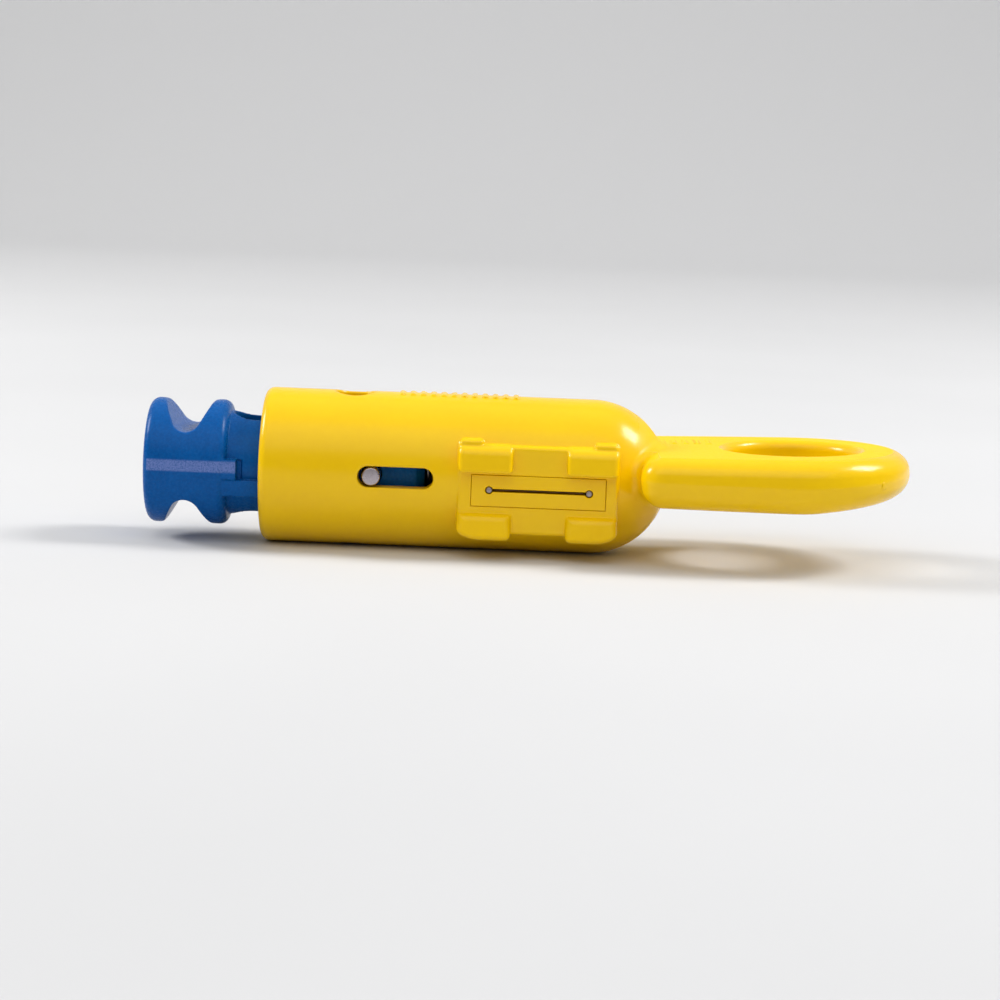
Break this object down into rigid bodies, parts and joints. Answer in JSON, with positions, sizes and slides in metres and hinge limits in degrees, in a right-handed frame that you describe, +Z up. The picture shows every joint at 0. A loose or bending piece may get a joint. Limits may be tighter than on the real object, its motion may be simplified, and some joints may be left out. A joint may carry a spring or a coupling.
{
  "type": "rotary plastic tube cutter",
  "caption": "Hand-held cutter for small plastic tube: round moulded body with a finger loop, a sprung plunger with a cutting blade, and a slitting blade in a channelled side boss.",
  "frame": {"origin": "the middle of the tool's overall length, on the axis of the bore", "axes": "+X along the bore from the plunger to the finger loop, +Z up through the tube hole, -Y out of the side with the slitter boss"},
  "size_m": [0.1254, 0.04, 0.0256],
  "materials": {
    "yellow_plastic": "glossy yellow moulded plastic with a fine skin texture",
    "blue_plastic": "blue moulded plastic, satin with a fine spark texture",
    "pin_steel": "bright drawn steel",
    "blade_steel": "ground blade steel",
    "spring_steel": "drawn spring wire"
  },
  "bodies": {
    "housing": {"housing": "yellow_plastic", "slitter_insert": "yellow_plastic", "slitter_blade": "blade_steel", "slitter_pin_left": "pin_steel", "slitter_pin_right": "pin_steel", "return_spring": "spring_steel"},
    "plunger": {"plunger": "blue_plastic", "stop_pin": "pin_steel", "cutter_blade": "blade_steel", "blade_screw": "pin_steel", "blade_nut": "pin_steel"}
  },
  "joints": [
    {"name": "plunger_slide", "type": "slide", "parent": "housing", "child": "plunger", "axis": [1, 0, 0], "range_m": [0, 0.0083], "stiffness_N_per_m": 800, "springref_m": -0.01, "deforming": ["return_spring"]}
  ]
}
